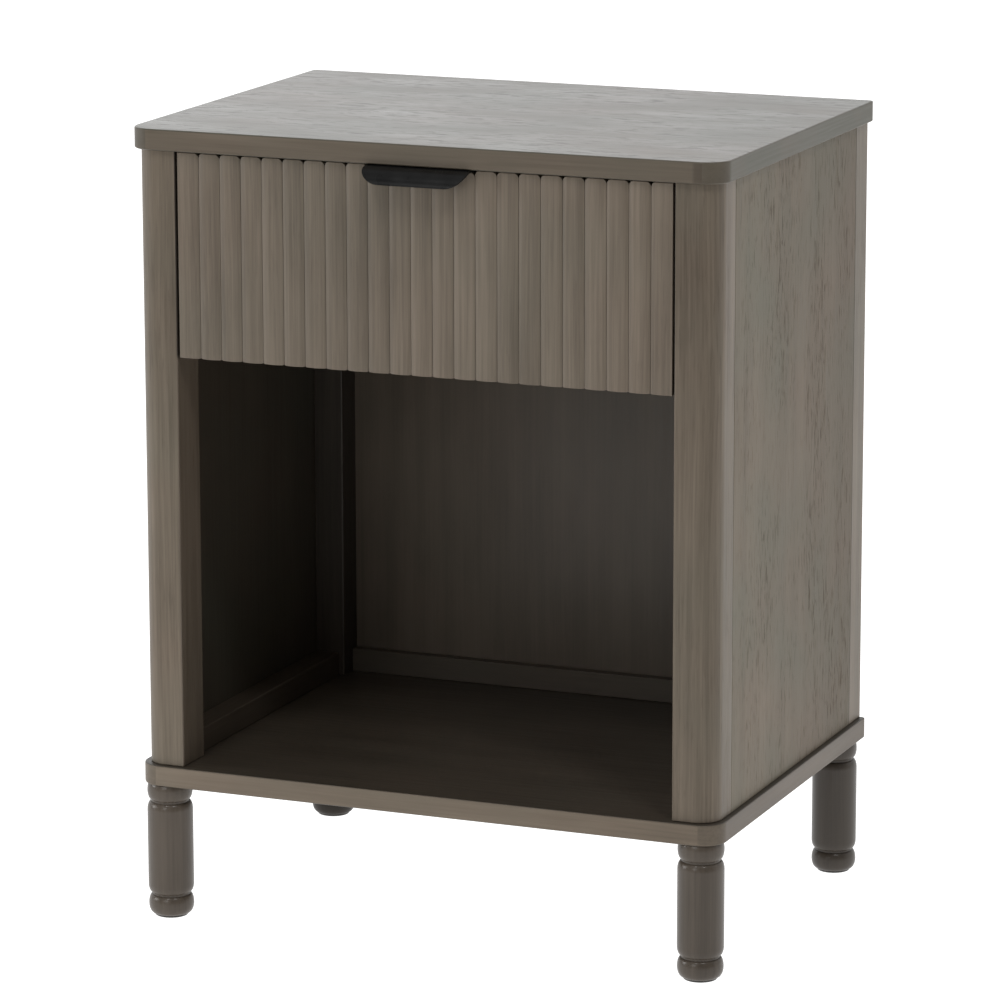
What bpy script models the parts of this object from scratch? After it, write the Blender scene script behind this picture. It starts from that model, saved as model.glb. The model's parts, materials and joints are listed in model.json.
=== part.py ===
"""Side table with one reeded drawer above an open compartment.

Metres, +Z up. X runs to the right, the drawer opens towards -Y. The origin is on the floor, at the
middle of the whole object's footprint, which the drawer's pull lengthens towards the front.
"""

import math
from collections import namedtuple

import bmesh
import bpy
from mathutils import Euler, Matrix, Vector

# ---------------------------------------------------------------------------------------------
# Driving dimensions
# ---------------------------------------------------------------------------------------------

GAP = 0.0003  # between faces that touch in the real table

TOP_WIDTH = 0.500
TOP_DEPTH = 0.360
PANEL_THICKNESS = 0.017  # top and base boards
PANEL_FRONT_RADIUS = 0.020
PANEL_REAR_RADIUS = 0.003
PANEL_EDGE_EASE = 0.0010
ROUND_CORNER_STEPS = 10
SMALL_CORNER_STEPS = 3
OVERHANG = 0.0045  # top and base past the case, at the front and the sides
REAR_OVERHANG = 0.001

LEG_HEIGHT = 0.112
CASE_HEIGHT = 0.502
PULL_REACH = 0.015  # how far the pull stands out past the top's front edge

POST_WIDTH = 0.0355
FRONT_POST_DEPTH = 0.038
REAR_POST_DEPTH = 0.0355
POST_CORNER_RADIUS = 0.018
POST_EDGE_RADIUS = 0.0012

SIDE_PANEL_THICKNESS = 0.009
SIDE_TONGUE_THICKNESS = 0.004
SIDE_TONGUE_LENGTH = 0.006
SIDE_LAP = 0.0065  # side panel over the rear post's rabbet
BACK_PANEL_THICKNESS = 0.004
BACK_PANEL_GROOVE = 0.005
BACK_PANEL_INSET = 0.0045  # back panel's outer face in from the posts' back faces

RAIL_SECTION = 0.020
REAR_RAIL_DEPTH = 0.0185
RUNNER_HEIGHT = 0.045
SIDE_RAIL_SETBACK = 0.005  # side rails outwards from the posts' inner faces
FRONT_RAIL_SETBACK = 0.002  # upper front rail behind the drawer front

DRAWER_SIDE_GAP = 0.0018
DRAWER_TOP_GAP = 0.001
DRAWER_FRONT_HEIGHT = 0.1645
DRAWER_FRONT_THICKNESS = 0.018
REED_COUNT = 23
REED_DEPTH = 0.002
REED_STEPS = 8

SLIDE_LENGTH = 0.300
SLIDE_HEIGHT = 0.0456
SLIDE_THICKNESS = 0.0127
SLIDE_CENTRE_Z = 0.530

BOX_BOARD = 0.012
BOX_HEIGHT = 0.120
BOX_BOTTOM_Z = 0.480
BOTTOM_THICKNESS = 0.005
BOTTOM_GROOVE_DEPTH = 0.006
BOTTOM_RISE = 0.010  # drawer bottom above the box's lower edge

PULL_HALF_WIDTH = 0.0438
PULL_CORNER_RADIUS = 0.0165  # of the lip's corners, before the sheet is bent
PULL_FLANGE_DEPTH = 0.0125
PULL_FORWARD = 0.017
PULL_DROP = 0.0128
PULL_THICKNESS = 0.0015

LEG_INSET_X = 0.0205
LEG_INSET_Y = 0.0185
LEG_RADIUS = 0.01855
LEG_GROOVE_RADIUS = 0.0156
LEG_STEPS = 28

# ---------------------------------------------------------------------------------------------
# Places worked out from them
# ---------------------------------------------------------------------------------------------

TOP_FRONT_Y = -(TOP_DEPTH + PULL_REACH) / 2 + PULL_REACH
TOP_BACK_Y = TOP_FRONT_Y + TOP_DEPTH
CASE_HALF_WIDTH = TOP_WIDTH / 2 - OVERHANG
CASE_FRONT_Y = TOP_FRONT_Y + OVERHANG
CASE_BACK_Y = TOP_BACK_Y - REAR_OVERHANG

BASE_TOP_Z = LEG_HEIGHT + PANEL_THICKNESS
CASE_LOW_Z = BASE_TOP_Z + GAP
CASE_HIGH_Z = BASE_TOP_Z + CASE_HEIGHT - GAP
TOP_LOW_Z = BASE_TOP_Z + CASE_HEIGHT
TOP_HIGH_Z = TOP_LOW_Z + PANEL_THICKNESS

OPENING_HALF_WIDTH = CASE_HALF_WIDTH - POST_WIDTH
FRONT_POST_BACK_Y = CASE_FRONT_Y + FRONT_POST_DEPTH
REAR_POST_FRONT_Y = CASE_BACK_Y - REAR_POST_DEPTH
SIDE_PANEL_INNER_X = CASE_HALF_WIDTH - SIDE_PANEL_THICKNESS
BACK_PANEL_BACK_Y = CASE_BACK_Y - BACK_PANEL_INSET
BACK_PANEL_FRONT_Y = BACK_PANEL_BACK_Y - BACK_PANEL_THICKNESS

SIDE_RAIL_LOW_Y = FRONT_POST_BACK_Y + GAP
SIDE_RAIL_HIGH_Y = REAR_POST_FRONT_Y - GAP
SIDE_RAIL_OUTER_X = SIDE_PANEL_INNER_X - GAP
REAR_RAIL_FRONT_Y = CASE_BACK_Y - REAR_RAIL_DEPTH

DRAWER_HALF_WIDTH = OPENING_HALF_WIDTH - DRAWER_SIDE_GAP
DRAWER_FRONT_HIGH_Z = TOP_LOW_Z - DRAWER_TOP_GAP
DRAWER_FRONT_LOW_Z = DRAWER_FRONT_HIGH_Z - DRAWER_FRONT_HEIGHT
DRAWER_FRONT_BACK_Y = CASE_FRONT_Y + DRAWER_FRONT_THICKNESS

BOX_FRONT_Y = DRAWER_FRONT_BACK_Y + GAP
BOX_BACK_Y = BOX_FRONT_Y + SLIDE_LENGTH
BOX_HALF_WIDTH = OPENING_HALF_WIDTH - SLIDE_THICKNESS - 2 * GAP
BOX_INNER_X = BOX_HALF_WIDTH - BOX_BOARD
BOX_TOP_Z = BOX_BOTTOM_Z + BOX_HEIGHT
BOTTOM_LOW_Z = BOX_BOTTOM_Z + BOTTOM_RISE
BOTTOM_HIGH_Z = BOTTOM_LOW_Z + BOTTOM_THICKNESS

SLIDE_FRONT_Y = BOX_FRONT_Y
SLIDE_BACK_Y = SLIDE_FRONT_Y + SLIDE_LENGTH

LEG_X = TOP_WIDTH / 2 - LEG_INSET_X
LEG_FRONT_Y = TOP_FRONT_Y + LEG_INSET_Y
LEG_REAR_Y = TOP_BACK_Y - LEG_INSET_Y
LEG_TOP_Z = LEG_HEIGHT - GAP

DOWN = (0, 0, -1)
FORWARD = (0, -1, 0)
SIDES = (("left", -1), ("right", 1))
CORNERS = tuple(
    (f"{end}_{side}", Vector((sign * LEG_X, y, 0)))
    for end, y in (("front", LEG_FRONT_Y), ("rear", LEG_REAR_Y))
    for side, sign in SIDES
)

# ---------------------------------------------------------------------------------------------
# Scene, collections and materials
# ---------------------------------------------------------------------------------------------

for old in list(bpy.data.objects):
    bpy.data.objects.remove(old, do_unlink=True)

PARTS = bpy.data.collections.new("side_table")
CUTTERS = bpy.data.collections.new("cutters")
for group in (PARTS, CUTTERS):
    bpy.context.scene.collection.children.link(group)


def make_material(name, colour, roughness, metallic=0.0):
    """A Principled material with one colour."""
    made = bpy.data.materials.new(name)
    made.use_nodes = True
    shader = made.node_tree.nodes["Principled BSDF"]
    shader.inputs["Base Color"].default_value = (*colour, 1.0)
    shader.inputs["Roughness"].default_value = roughness
    shader.inputs["Metallic"].default_value = metallic
    return made


STAINED_WOOD = make_material("stained_wood", (0.120, 0.094, 0.070), 0.45)
STAINED_VENEER = make_material("stained_veneer", (0.128, 0.104, 0.080), 0.45)
LEG_WOOD = make_material("leg_wood", (0.062, 0.048, 0.036), 0.38)
PALE_PLY = make_material("pale_ply", (0.560, 0.440, 0.300), 0.60)
BLACK_METAL = make_material("black_metal", (0.012, 0.012, 0.012), 0.45)
ZINC = make_material("zinc", (0.560, 0.570, 0.590), 0.35, 1.0)
FELT = make_material("felt", (0.060, 0.055, 0.050), 0.95)

# ---------------------------------------------------------------------------------------------
# Modelling helpers
# ---------------------------------------------------------------------------------------------

ROTATION_FOR_AXIS = {
    "X": Euler((math.pi / 2, 0, math.pi / 2)),  # the outline is (y, z)
    "Y": Euler((math.pi / 2, 0, 0)),  # the outline is (x, z)
    "Z": Euler((0, 0, 0)),  # the outline is (x, y)
}


def add_object(name, data, material, collection=PARTS):
    """Links a new object that holds data, with one material."""
    made = bpy.data.objects.new(name, data)
    collection.objects.link(made)
    if material is not None:
        data.materials.append(material)
    return made


def arc(centre, radius, start, end, steps):
    """Points along a circular arc, with both ends; angles in degrees."""
    angles = [math.radians(start + (end - start) * i / steps) for i in range(steps + 1)]
    return [(centre[0] + radius * math.cos(a), centre[1] + radius * math.sin(a)) for a in angles]


def mirrored(outline, sign):
    """The outline as it is for the right side, and flipped in X for the left."""
    return [(sign * x, y) for x, y in outline]


def rectangle(low, high):
    """The four corners of a rectangle."""
    return [(low[0], low[1]), (high[0], low[1]), (high[0], high[1]), (low[0], high[1])]


def prism(name, outline, axis, low, high, material):
    """A closed solid: a flat outline drawn out along an axis from low to high."""
    curve = bpy.data.curves.new(name + "_outline", "CURVE")
    curve.dimensions = "2D"
    curve.fill_mode = "BOTH"
    curve.extrude = (high - low) / 2
    spline = curve.splines.new("POLY")
    spline.points.add(len(outline) - 1)
    for point, (u, v) in zip(spline.points, outline):
        point.co = (u, v, 0, 1)
    spline.use_cyclic_u = True
    drawn = add_object(name + "_outline", curve, None)
    drawn.rotation_euler = ROTATION_FOR_AXIS[axis]
    middle = Vector((0, 0, 0))
    middle["XYZ".index(axis)] = (low + high) / 2
    drawn.location = middle
    bpy.context.view_layer.update()

    evaluated = drawn.evaluated_get(bpy.context.evaluated_depsgraph_get())
    mesh = bpy.data.meshes.new_from_object(evaluated)
    mesh.name = name
    work = bmesh.new()
    work.from_mesh(mesh)
    bmesh.ops.remove_doubles(work, verts=work.verts, dist=1e-6)
    for end in (-1, 1):
        cap = [face for face in work.faces if all(vert.co.z * end > 0 for vert in face.verts)]
        bmesh.ops.dissolve_faces(work, faces=cap)
    bmesh.ops.recalc_face_normals(work, faces=work.faces)
    work.to_mesh(mesh)
    work.free()
    made = add_object(name, mesh, material)
    made.matrix_world = drawn.matrix_world.copy()
    bpy.data.objects.remove(drawn, do_unlink=True)
    shade_round(made)
    return made


def shade_round(target, sharp_angle=35):
    """Smooth shading that keeps edges sharper than the angle."""
    target.data.shade_smooth()
    target.data.set_sharp_from_angle(angle=math.radians(sharp_angle))


def block(name, low, high, material):
    """A rectangular board between two corners."""
    low, high = Vector(low), Vector(high)
    mesh = bpy.data.meshes.new(name)
    work = bmesh.new()
    bmesh.ops.create_cube(work, size=1.0)
    bmesh.ops.scale(work, vec=high - low, verts=work.verts)
    work.to_mesh(mesh)
    work.free()
    made = add_object(name, mesh, material)
    made.location = (low + high) / 2
    return made


def ease_edges(target, width, segments=1):
    """Takes the sharpness off every hard edge."""
    bevel = target.modifiers.new("eased_edges", "BEVEL")
    bevel.width = width
    bevel.segments = segments
    bevel.limit_method = "ANGLE"
    bevel.angle_limit = math.radians(40)
    return target


def turned(name, profile, steps, material, place=Matrix()):
    """A turned solid. The profile is (radius, height) from the axis at the top to the axis below."""
    mesh = bpy.data.meshes.new(name)
    points = [(radius, 0, height) for radius, height in profile]
    mesh.from_pydata(points, [(i, i + 1) for i in range(len(points) - 1)], [])
    made = add_object(name, mesh, material)
    made.matrix_world = place
    screw = made.modifiers.new("turned", "SCREW")
    screw.axis = "Z"
    screw.steps = steps
    screw.render_steps = steps
    screw.use_merge_vertices = True
    screw.merge_threshold = 0.00001
    screw.use_smooth_shade = True
    return made


def looking_along(point, direction):
    """A place at a point whose local -Z, the way a screw drives, runs along a direction."""
    turn = Vector((0, 0, -1)).rotation_difference(Vector(direction))
    return Matrix.Translation(point) @ turn.to_matrix().to_4x4()


# A round hole. The centre is on the surface, the direction points into the material.
Hole = namedtuple("Hole", "centre direction radius depth mouth_radius", defaults=(None,))
DRILL_CLEARANCE = 0.0001  # a drill starts this far outside the surface


def drill(target, holes, steps=16):
    """Cuts round holes, tapered where the mouth has its own radius."""
    mesh = bpy.data.meshes.new(target.name + "_holes")
    work = bmesh.new()
    for hole in holes:
        length = hole.depth + DRILL_CLEARANCE
        middle = Matrix.Translation((0, 0, DRILL_CLEARANCE - length / 2))
        bmesh.ops.create_cone(
            work,
            cap_ends=True,
            segments=steps,
            radius1=hole.radius,
            radius2=hole.mouth_radius or hole.radius,
            depth=length,
            matrix=looking_along(Vector(hole.centre), hole.direction) @ middle,
        )
    work.to_mesh(mesh)
    work.free()
    subtract(target, add_object(target.name + "_holes", mesh, None, CUTTERS))


def subtract(target, cutter):
    """Cuts one object out of another."""
    cutter.hide_render = True
    cutter.display_type = "WIRE"
    cut = target.modifiers.new("cut_" + cutter.name, "BOOLEAN")
    cut.operation = "DIFFERENCE"
    cut.solver = "EXACT"
    cut.object = cutter


# ---------------------------------------------------------------------------------------------
# Screws: a flat or countersunk head, a shank and a short point
# ---------------------------------------------------------------------------------------------

SCREW_STEPS = 12
SCREW_POINT = 0.002


def wood_screw(name, seat, direction, head, shank, length, countersunk=False):
    """A screw whose head sits at seat and which drives along direction. head is (radius, height)."""
    head_radius, head_height = head
    if countersunk:
        crown = [(head_radius, 0), (shank, -head_height)]
    else:
        crown = [(head_radius, head_height), (head_radius, 0), (shank, 0)]
    profile = [(0, crown[0][1])]
    profile += crown
    profile += [(shank, SCREW_POINT - length), (0, -length)]
    return turned(name, profile, SCREW_STEPS, ZINC, looking_along(Vector(seat), direction))


# ---------------------------------------------------------------------------------------------
# Top and base boards
# ---------------------------------------------------------------------------------------------


def board_outline():
    """Plan of the top and the base: round front corners, nearly square rear ones."""
    half, front, rear = TOP_WIDTH / 2, PANEL_FRONT_RADIUS, PANEL_REAR_RADIUS
    points = arc((half - front, TOP_FRONT_Y + front), front, -90, 0, ROUND_CORNER_STEPS)
    points += arc((half - rear, TOP_BACK_Y - rear), rear, 0, 90, SMALL_CORNER_STEPS)
    points += arc((rear - half, TOP_BACK_Y - rear), rear, 90, 180, SMALL_CORNER_STEPS)
    points += arc((front - half, TOP_FRONT_Y + front), front, 180, 270, ROUND_CORNER_STEPS)
    return points


BOLT_RADIUS = 0.004
BOLT_HOLE_RADIUS = BOLT_RADIUS + GAP
BOLT_RISE = 0.012  # into the base
BOLT_FALL = 0.024  # into the leg


def build_boards():
    """The top, and the base with its four blind holes for the legs' bolts."""
    top = prism("top_panel", board_outline(), "Z", TOP_LOW_Z, TOP_HIGH_Z, STAINED_VENEER)
    ease_edges(top, PANEL_EDGE_EASE, 2)
    base = prism("base_panel", board_outline(), "Z", LEG_HEIGHT, BASE_TOP_Z, STAINED_WOOD)
    ease_edges(base, PANEL_EDGE_EASE, 2)
    mouths = [spot + Vector((0, 0, LEG_HEIGHT)) for _, spot in CORNERS]
    drill(base, [Hole(mouth, (0, 0, 1), BOLT_HOLE_RADIUS, BOLT_RISE + GAP) for mouth in mouths])


# ---------------------------------------------------------------------------------------------
# Case: posts, side panels, back panel and rails
# ---------------------------------------------------------------------------------------------

TONGUE_OUTER_X = CASE_HALF_WIDTH - (SIDE_PANEL_THICKNESS - SIDE_TONGUE_THICKNESS) / 2
TONGUE_INNER_X = TONGUE_OUTER_X - SIDE_TONGUE_THICKNESS
TONGUE_TIP_Y = FRONT_POST_BACK_Y - SIDE_TONGUE_LENGTH


def front_post_outline():
    """Plan of the right front post: round outer corner, groove for the side panel's tongue."""
    radius, edge = POST_CORNER_RADIUS, POST_EDGE_RADIUS
    inner = OPENING_HALF_WIDTH
    points = arc((inner + edge, CASE_FRONT_Y + edge), edge, 180, 270, SMALL_CORNER_STEPS)
    points += arc((CASE_HALF_WIDTH - radius, CASE_FRONT_Y + radius), radius, -90, 0, ROUND_CORNER_STEPS)
    points += [(CASE_HALF_WIDTH, FRONT_POST_BACK_Y), (TONGUE_OUTER_X + GAP, FRONT_POST_BACK_Y)]
    points += [(TONGUE_OUTER_X + GAP, TONGUE_TIP_Y - GAP), (TONGUE_INNER_X - GAP, TONGUE_TIP_Y - GAP)]
    points += [(TONGUE_INNER_X - GAP, FRONT_POST_BACK_Y), (inner, FRONT_POST_BACK_Y)]
    return points


def rear_post_outline():
    """Plan of the right rear post: rabbet for the side panel, groove for the back panel."""
    edge = POST_EDGE_RADIUS
    inner = OPENING_HALF_WIDTH
    lap_y = REAR_POST_FRONT_Y + SIDE_LAP
    groove_x = inner + BACK_PANEL_GROOVE + GAP
    points = arc((inner + edge, REAR_POST_FRONT_Y + edge), edge, 180, 270, SMALL_CORNER_STEPS)
    points += [(SIDE_PANEL_INNER_X - GAP, REAR_POST_FRONT_Y), (SIDE_PANEL_INNER_X - GAP, lap_y)]
    points += [(CASE_HALF_WIDTH, lap_y)]
    points += arc((CASE_HALF_WIDTH - edge, CASE_BACK_Y - edge), edge, 0, 90, SMALL_CORNER_STEPS)
    points += [(inner, CASE_BACK_Y), (inner, BACK_PANEL_BACK_Y + GAP)]
    points += [(groove_x, BACK_PANEL_BACK_Y + GAP), (groove_x, BACK_PANEL_FRONT_Y - GAP)]
    points += [(inner, BACK_PANEL_FRONT_Y - GAP)]
    return points


def side_panel_outline():
    """Plan of the right side panel, flush outside, with its tongue at the front."""
    front = FRONT_POST_BACK_Y + GAP
    back = REAR_POST_FRONT_Y + SIDE_LAP - GAP
    points = [(TONGUE_INNER_X, TONGUE_TIP_Y), (TONGUE_OUTER_X, TONGUE_TIP_Y)]
    points += [(TONGUE_OUTER_X, front), (CASE_HALF_WIDTH, front), (CASE_HALF_WIDTH, back)]
    points += [(SIDE_PANEL_INNER_X, back), (SIDE_PANEL_INNER_X, front), (TONGUE_INNER_X, front)]
    return points


def rear_rail_outline(low, high, groove_up):
    """Section of a back rail: flush with the posts outside, grooved for the back panel."""
    if groove_up:
        mouth, floor = high, high - BACK_PANEL_GROOVE - GAP
    else:
        mouth, floor = low, low + BACK_PANEL_GROOVE + GAP
    far = low + high - mouth
    groove_front, groove_back = BACK_PANEL_FRONT_Y - GAP, BACK_PANEL_BACK_Y + GAP
    points = [(REAR_RAIL_FRONT_Y, far), (REAR_RAIL_FRONT_Y, mouth), (groove_front, mouth)]
    points += [(groove_front, floor), (groove_back, floor), (groove_back, mouth)]
    points += [(CASE_BACK_Y, mouth), (CASE_BACK_Y, far)]
    return points


RAIL_EASE = 0.0006
LOWER_RAIL_TOP_Z = CASE_LOW_Z + RAIL_SECTION
UPPER_RAIL_LOW_Z = CASE_HIGH_Z - RAIL_SECTION
RAIL_HALF_LENGTH = OPENING_HALF_WIDTH - GAP
SIDE_RAIL_INNER_X = OPENING_HALF_WIDTH + SIDE_RAIL_SETBACK


def build_posts_and_panels():
    """Four posts the full height of the case, and the thin panels between them."""
    for side, sign in SIDES:
        front = mirrored(front_post_outline(), sign)
        rear = mirrored(rear_post_outline(), sign)
        panel = mirrored(side_panel_outline(), sign)
        prism("post_front_" + side, front, "Z", CASE_LOW_Z, CASE_HIGH_Z, STAINED_WOOD)
        prism("post_rear_" + side, rear, "Z", CASE_LOW_Z, CASE_HIGH_Z, STAINED_WOOD)
        prism("side_panel_" + side, panel, "Z", CASE_LOW_Z, CASE_HIGH_Z, STAINED_VENEER)

    half = OPENING_HALF_WIDTH + BACK_PANEL_GROOVE
    low = (-half, BACK_PANEL_FRONT_Y, LOWER_RAIL_TOP_Z - BACK_PANEL_GROOVE)
    high = (half, BACK_PANEL_BACK_Y, UPPER_RAIL_LOW_Z + BACK_PANEL_GROOVE)
    block("back_panel", low, high, STAINED_VENEER)


def build_rails():
    """Rails between the posts: at the foot, at the head, and for the drawer's slides."""
    for name, low_z, high_z, groove_up in (
        ("rail_lower_back", CASE_LOW_Z, LOWER_RAIL_TOP_Z, True),
        ("rail_upper_back", UPPER_RAIL_LOW_Z, CASE_HIGH_Z, False),
    ):
        section = rear_rail_outline(low_z, high_z, groove_up)
        prism(name, section, "X", -RAIL_HALF_LENGTH, RAIL_HALF_LENGTH, STAINED_WOOD)

    for side, sign in SIDES:
        for level, low_z, high_z in (
            ("lower", CASE_LOW_Z, LOWER_RAIL_TOP_Z),
            ("upper", UPPER_RAIL_LOW_Z, CASE_HIGH_Z),
        ):
            span = sorted((sign * SIDE_RAIL_INNER_X, sign * SIDE_RAIL_OUTER_X))
            low = (span[0], SIDE_RAIL_LOW_Y, low_z)
            high = (span[1], SIDE_RAIL_HIGH_Y, high_z)
            ease_edges(block(f"rail_{level}_{side}", low, high, STAINED_WOOD), RAIL_EASE)

    low = (-RAIL_HALF_LENGTH, DRAWER_FRONT_BACK_Y + FRONT_RAIL_SETBACK, UPPER_RAIL_LOW_Z)
    high = (RAIL_HALF_LENGTH, FRONT_POST_BACK_Y, CASE_HIGH_Z)
    block("rail_upper_front", low, high, STAINED_WOOD)


# ---------------------------------------------------------------------------------------------
# Drawer slides: three nested channels on each side
# ---------------------------------------------------------------------------------------------

# Each channel's section is measured from the runner: web near face, web far face, lip end, half
# height. The inner channel opens the other way, with its web against the drawer.
SLIDE_SHEET = 0.0011
OUTER_LIP_END = 0.0095
MIDDLE_WEB = 0.0026
MIDDLE_LIP_END = 0.0110
MIDDLE_HALF_HEIGHT = 0.0175
INNER_LIP_START = 0.0050
INNER_HALF_HEIGHT = 0.0125

SLIDE_SCREW_SHANK = 0.0018
SLIDE_SCREW_HEAD_RADIUS = 0.0038
OUTER_SCREW_HEAD = 0.0008
INNER_SCREW_HEAD = 0.0014
OUTER_SCREW_LENGTH = 0.014
INNER_SCREW_LENGTH = 0.010
SLIDE_SCREW_HOLE = SLIDE_SCREW_SHANK + GAP
SLIDE_SCREW_INSET = 0.035  # from each end of the slide
SLIDE_SCREW_SPOTS = (
    ("front", SLIDE_FRONT_Y + SLIDE_SCREW_INSET),
    ("back", SLIDE_BACK_Y - SLIDE_SCREW_INSET),
)


def channel_outline(web, lip_end, half_height):
    """A channel's (depth, height) section; its lips run from the web to lip_end."""
    inside = web + math.copysign(SLIDE_SHEET, lip_end - web)
    inner_height = half_height - SLIDE_SHEET
    points = [(web, -half_height), (lip_end, -half_height), (lip_end, -inner_height)]
    points += [(inside, -inner_height), (inside, inner_height), (lip_end, inner_height)]
    points += [(lip_end, half_height), (web, half_height)]
    return points


def slide_member(name, sign, outline):
    """One channel of a slide, drawn out from front to back."""
    runner_x = OPENING_HALF_WIDTH - GAP
    section = [(sign * (runner_x - depth), SLIDE_CENTRE_Z + height) for depth, height in outline]
    return prism(name, section, "Y", SLIDE_FRONT_Y, SLIDE_BACK_Y, ZINC)


def build_slides():
    """Runner rails, and on each a full-extension slide with its screws."""
    for side, sign in SIDES:
        span = sorted((sign * OPENING_HALF_WIDTH, sign * SIDE_RAIL_OUTER_X))
        low = (span[0], SIDE_RAIL_LOW_Y, SLIDE_CENTRE_Z - RUNNER_HEIGHT / 2)
        high = (span[1], SIDE_RAIL_HIGH_Y, SLIDE_CENTRE_Z + RUNNER_HEIGHT / 2)
        runner = block("runner_rail_" + side, low, high, STAINED_WOOD)

        outer_outline = channel_outline(0, OUTER_LIP_END, SLIDE_HEIGHT / 2)
        middle_outline = channel_outline(MIDDLE_WEB, MIDDLE_LIP_END, MIDDLE_HALF_HEIGHT)
        inner_outline = channel_outline(SLIDE_THICKNESS, INNER_LIP_START, INNER_HALF_HEIGHT)
        outer = slide_member("slide_outer_" + side, sign, outer_outline)
        slide_member("slide_middle_" + side, sign, middle_outline)
        inner = slide_member("slide_inner_" + side, sign, inner_outline)

        runner_x = sign * (OPENING_HALF_WIDTH - GAP)
        outward, inward = (sign, 0, 0), (-sign, 0, 0)
        outer_holes, runner_holes, inner_holes = [], [], []
        for place, y in SLIDE_SCREW_SPOTS:
            seat = Vector((runner_x - sign * (SLIDE_SHEET + GAP), y, SLIDE_CENTRE_Z))
            head = (SLIDE_SCREW_HEAD_RADIUS, OUTER_SCREW_HEAD)
            name = f"runner_screw_{side}_{place}"
            wood_screw(name, seat, outward, head, SLIDE_SCREW_SHANK, OUTER_SCREW_LENGTH)
            outer_holes.append(Hole(seat, outward, SLIDE_SCREW_HOLE, 2 * SLIDE_SHEET))
            mouth = (sign * OPENING_HALF_WIDTH, y, SLIDE_CENTRE_Z)
            runner_holes.append(Hole(mouth, outward, SLIDE_SCREW_HOLE, OUTER_SCREW_LENGTH))

            web_depth = SLIDE_THICKNESS - SLIDE_SHEET - GAP
            seat = Vector((runner_x - sign * web_depth, y, SLIDE_CENTRE_Z))
            head = (SLIDE_SCREW_HEAD_RADIUS, INNER_SCREW_HEAD)
            name = f"drawer_slide_screw_{side}_{place}"
            wood_screw(name, seat, inward, head, SLIDE_SCREW_SHANK, INNER_SCREW_LENGTH)
            inner_holes.append(Hole(seat, inward, SLIDE_SCREW_HOLE, 2 * SLIDE_SHEET))
        drill(outer, outer_holes)
        drill(runner, runner_holes)
        drill(inner, inner_holes)


# ---------------------------------------------------------------------------------------------
# Drawer: reeded front, box, pull and their screws
# ---------------------------------------------------------------------------------------------

FRONT_SCREW_X = 0.140
FRONT_SCREW_DROP = 0.030  # from the box's top and bottom edges
FRONT_SCREW_HEAD = (0.0042, 0.0022)
FRONT_SCREW_SHANK = 0.0020
FRONT_SCREW_LENGTH = 0.024
FRONT_SCREW_HOLE = FRONT_SCREW_SHANK + GAP
FRONT_SCREW_LEVELS = (
    ("lower", BOX_BOTTOM_Z + FRONT_SCREW_DROP),
    ("upper", BOX_TOP_Z - FRONT_SCREW_DROP),
)
BOX_BACK_LOW_Z = BOTTOM_HIGH_Z + GAP

PULL_SCREW_X = 0.032
PULL_SCREW_HEAD = (0.0031, 0.0013)
PULL_SCREW_SHANK = 0.0016
PULL_SCREW_LENGTH = 0.015
PULL_SCREW_HOLE = PULL_SCREW_SHANK + GAP
PULL_COUNTERSINK = PULL_SCREW_HEAD[0] + 2 * GAP
PULL_TOP_Z = DRAWER_FRONT_HIGH_Z + GAP
PULL_BEND_Y = TOP_FRONT_Y - PULL_REACH + PULL_FORWARD
PULL_FLANGE_BACK_Y = PULL_BEND_Y + PULL_FLANGE_DEPTH
PULL_SCREW_SETBACK = 0.0048  # from the flange's rear edge
PULL_SCREW_Y = PULL_FLANGE_BACK_Y - PULL_SCREW_SETBACK
PULL_CORNER_STEPS = 12
PULL_SIDE_STEPS = 3
PULL_LIP_STEPS = 64


def reeded_outline():
    """Plan of the drawer front: a row of shallow convex reeds on a flat board."""
    pitch = 2 * DRAWER_HALF_WIDTH / REED_COUNT
    radius = (pitch**2 / 4 + REED_DEPTH**2) / (2 * REED_DEPTH)
    half_angle = math.degrees(math.asin(pitch / 2 / radius))
    points = [(-DRAWER_HALF_WIDTH, DRAWER_FRONT_BACK_Y)]
    for reed in range(REED_COUNT):
        centre = (-DRAWER_HALF_WIDTH + (reed + 0.5) * pitch, CASE_FRONT_Y + radius)
        run = arc(centre, radius, -90 - half_angle, -90 + half_angle, REED_STEPS)
        points += run if reed == 0 else run[1:]
    points.append((DRAWER_HALF_WIDTH, DRAWER_FRONT_BACK_Y))
    return points


def box_side_outline():
    """Section of the right drawer side, with the groove for the bottom."""
    groove_x = BOX_INNER_X + BOTTOM_GROOVE_DEPTH
    points = [(BOX_HALF_WIDTH, BOX_BOTTOM_Z), (BOX_HALF_WIDTH, BOX_TOP_Z), (BOX_INNER_X, BOX_TOP_Z)]
    points += [(BOX_INNER_X, BOTTOM_HIGH_Z + GAP), (groove_x, BOTTOM_HIGH_Z + GAP)]
    points += [(groove_x, BOTTOM_LOW_Z - GAP), (BOX_INNER_X, BOTTOM_LOW_Z - GAP)]
    points += [(BOX_INNER_X, BOX_BOTTOM_Z)]
    return points


def box_front_outline():
    """Section of the drawer box's front board, with the same groove."""
    back = BOX_FRONT_Y + BOX_BOARD
    groove_y = back - BOTTOM_GROOVE_DEPTH
    points = [(BOX_FRONT_Y, BOX_BOTTOM_Z), (BOX_FRONT_Y, BOX_TOP_Z), (back, BOX_TOP_Z)]
    points += [(back, BOTTOM_HIGH_Z + GAP), (groove_y, BOTTOM_HIGH_Z + GAP)]
    points += [(groove_y, BOTTOM_LOW_Z - GAP), (back, BOTTOM_LOW_Z - GAP), (back, BOX_BOTTOM_Z)]
    return points


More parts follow.
